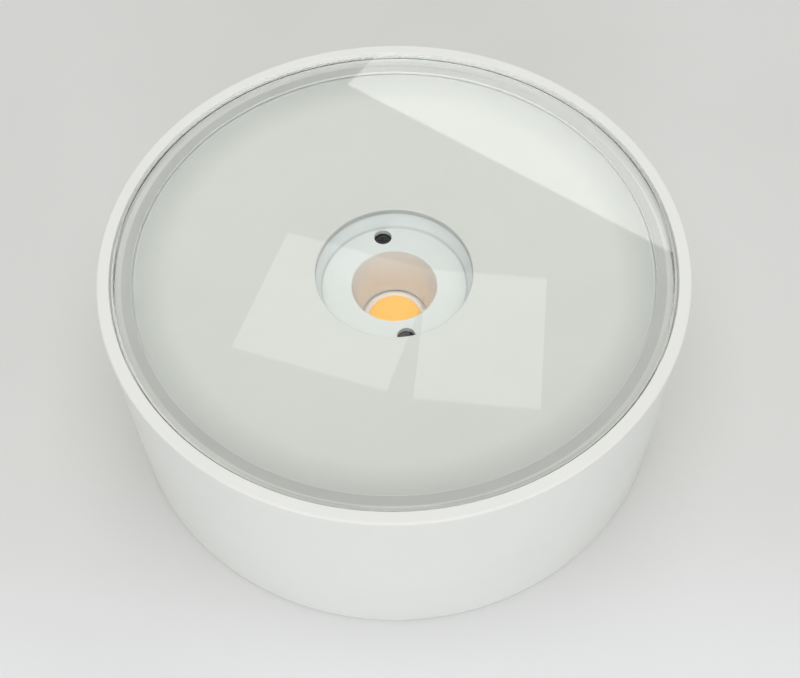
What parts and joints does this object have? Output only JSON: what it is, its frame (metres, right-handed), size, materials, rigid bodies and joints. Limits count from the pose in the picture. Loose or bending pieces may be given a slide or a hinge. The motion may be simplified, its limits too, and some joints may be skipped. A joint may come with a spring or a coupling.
{
  "type": "surface downlight",
  "caption": "Round drum-shaped surface downlight with a flat front glass, a white dished reflector round a deep-set emitter, and a twist-lock ceiling plate.",
  "frame": {"origin": "centre of the mounting face, where the ceiling plate's gasket and the drum's rear edge meet the ceiling", "axes": "+Z from the mounting face through the drum to the glass; +X along the line of the two screw slots"},
  "size_m": [0.12, 0.12, 0.048],
  "materials": {
    "white_coat": "fine-textured white powder coat",
    "clear_glass": "clear float glass with ground edges",
    "pale_seal": "pale grey silicone",
    "reflector_white": "satin white moulding",
    "black_screw": "black oxide",
    "steel_screw": "bright zinc",
    "phosphor": "phosphor-filled silicone",
    "dam_white": "white silicone bead",
    "board_ceramic": "pale ceramic",
    "holder_white": "white moulding",
    "contact_bronze": "bright bronze",
    "pad_grey": "grey thermal pad",
    "black_rubber": "black rubber",
    "case_white": "white moulding",
    "board_green": "green circuit board",
    "ferrite": "dark ferrite",
    "winding_tape": "yellow winding tape",
    "capacitor_sleeve": "dark blue sleeve",
    "film_red": "dipped red case",
    "chip_black": "moulded package",
    "terminal_white": "off-white moulding",
    "clamp_brass": "plain brass",
    "tinned_tag": "tinned copper",
    "lead_brown": "brown insulation",
    "lead_blue": "blue insulation",
    "lead_green_yellow": "green and yellow insulation",
    "lead_red": "red insulation",
    "lead_black": "black insulation",
    "plate_zinc": "zinc-plated sheet",
    "foam_black": "closed-cell foam"
  },
  "bodies": {
    "mounting": {"ceiling_plate": "plate_zinc", "base_gasket": "foam_black", "cable_grommet": "black_rubber"},
    "lamp": {"housing": "white_coat", "glass_cover": "clear_glass", "glass_seal": "pale_seal", "reflector": "reflector_white", "reflector_cup": "reflector_white", "reflector_screws": "black_screw", "thermal_pad": "pad_grey", "cob_board": "board_ceramic", "cob_dam": "dam_white", "cob_emitter": "phosphor", "cob_holder": "holder_white", "holder_contacts": "contact_bronze", "holder_screws": "steel_screw", "lead_grommet": "black_rubber", "driver_tray": "case_white", "driver_cover": "case_white", "driver_screws": "steel_screw", "driver_board": "board_green", "transformer_core": "ferrite", "transformer_winding": "winding_tape", "driver_capacitors": "capacitor_sleeve", "driver_choke": "ferrite", "driver_film_capacitor": "film_red", "driver_chips": "chip_black", "terminal_block": "terminal_white", "terminal_clamps": "clamp_brass", "terminal_screws": "steel_screw", "terminal_fixing_screw": "steel_screw", "earth_tag": "tinned_tag", "earth_screw": "steel_screw", "live_lead": "lead_brown", "neutral_lead": "lead_blue", "earth_lead": "lead_green_yellow", "led_lead_positive": "lead_red", "led_lead_negative": "lead_black"}
  },
  "joints": [
    {"name": "twist_lock", "type": "hinge", "parent": "mounting", "child": "lamp", "pos_m": [0, 0, 0], "axis": [0, 0, 1], "range_deg": [0, 28]}
  ]
}
